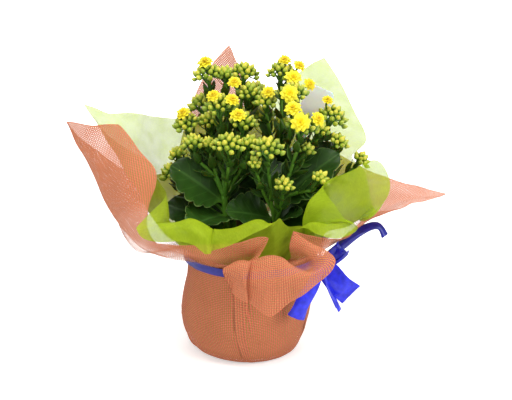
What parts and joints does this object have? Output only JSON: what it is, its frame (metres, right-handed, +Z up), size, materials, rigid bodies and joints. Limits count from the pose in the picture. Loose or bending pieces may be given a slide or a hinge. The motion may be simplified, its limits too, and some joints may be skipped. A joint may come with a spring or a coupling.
{
  "type": "potted flaming katy",
  "caption": "Succulent with scalloped dark green leaves, clusters of buds and yellow double flowers, in a nursery pot wrapped in two cloth sheets tied with a ribbon.",
  "frame": {"origin": "on the flat underside of the wrapped pot, on the pot's axis", "axes": "+Z up along the pot's axis; the front of the gift wrapping, with the ribbon's knot to its right, faces -Y; +X is the viewer's right"},
  "size_m": [0.388, 0.2283, 0.3008],
  "materials": {
    "wrap_outer": "loosely woven terracotta cloth",
    "wrap_inner": "thin lime non-woven cloth",
    "pot": "moulded nursery pot",
    "soil": "peat and bark compost",
    "ribbon": "royal blue satin ribbon",
    "label": "blank pale tag",
    "foliage": "fleshy dark green leaves and stems",
    "buds": "yellow-green flower buds",
    "petals": "yellow petals"
  },
  "bodies": {
    "root": {"wrap_outer": "wrap_outer", "wrap_inner": "wrap_inner", "pot": "pot", "soil": "soil", "ribbon": "ribbon", "plant_label": "label", "leafy_stem_1": "foliage", "leafy_stem_2": "foliage", "leafy_stem_3": "foliage", "leafy_stem_4": "foliage", "bud_cluster_1": "buds", "bud_cluster_2": "buds", "bud_cluster_3": "buds", "bud_cluster_4": "buds", "bud_cluster_5": "buds", "bud_cluster_6": "buds", "bud_cluster_7": "buds", "bud_cluster_8": "buds", "bud_cluster_9": "buds", "bud_cluster_10": "buds", "bud_cluster_11": "buds", "bud_cluster_12": "buds", "bud_cluster_13": "buds", "bud_cluster_14": "buds", "bud_cluster_15": "buds", "bud_cluster_16": "buds", "bud_cluster_17": "buds", "bud_cluster_18": "buds", "bud_cluster_19": "buds", "bud_cluster_20": "buds", "bud_cluster_21": "buds", "bud_cluster_22": "buds", "bud_cluster_23": "buds", "bud_cluster_24": "buds", "bud_cluster_25": "buds", "bud_cluster_26": "buds", "bud_cluster_27": "buds", "bud_cluster_28": "buds", "bud_cluster_29": "buds", "bud_cluster_30": "buds", "bud_cluster_31": "buds", "bud_cluster_32": "buds", "bud_cluster_33": "buds", "bud_cluster_34": "buds", "bloom_1": "petals", "bloom_2": "petals", "bloom_3": "petals", "bloom_4": "petals", "bloom_5": "petals", "bloom_6": "petals", "bloom_7": "petals", "bloom_8": "petals", "bloom_9": "petals", "bloom_10": "petals", "bloom_11": "petals", "bloom_12": "petals", "bloom_13": "petals", "bloom_14": "petals", "bloom_15": "petals", "bloom_16": "petals"}
  },
  "joints": []
}
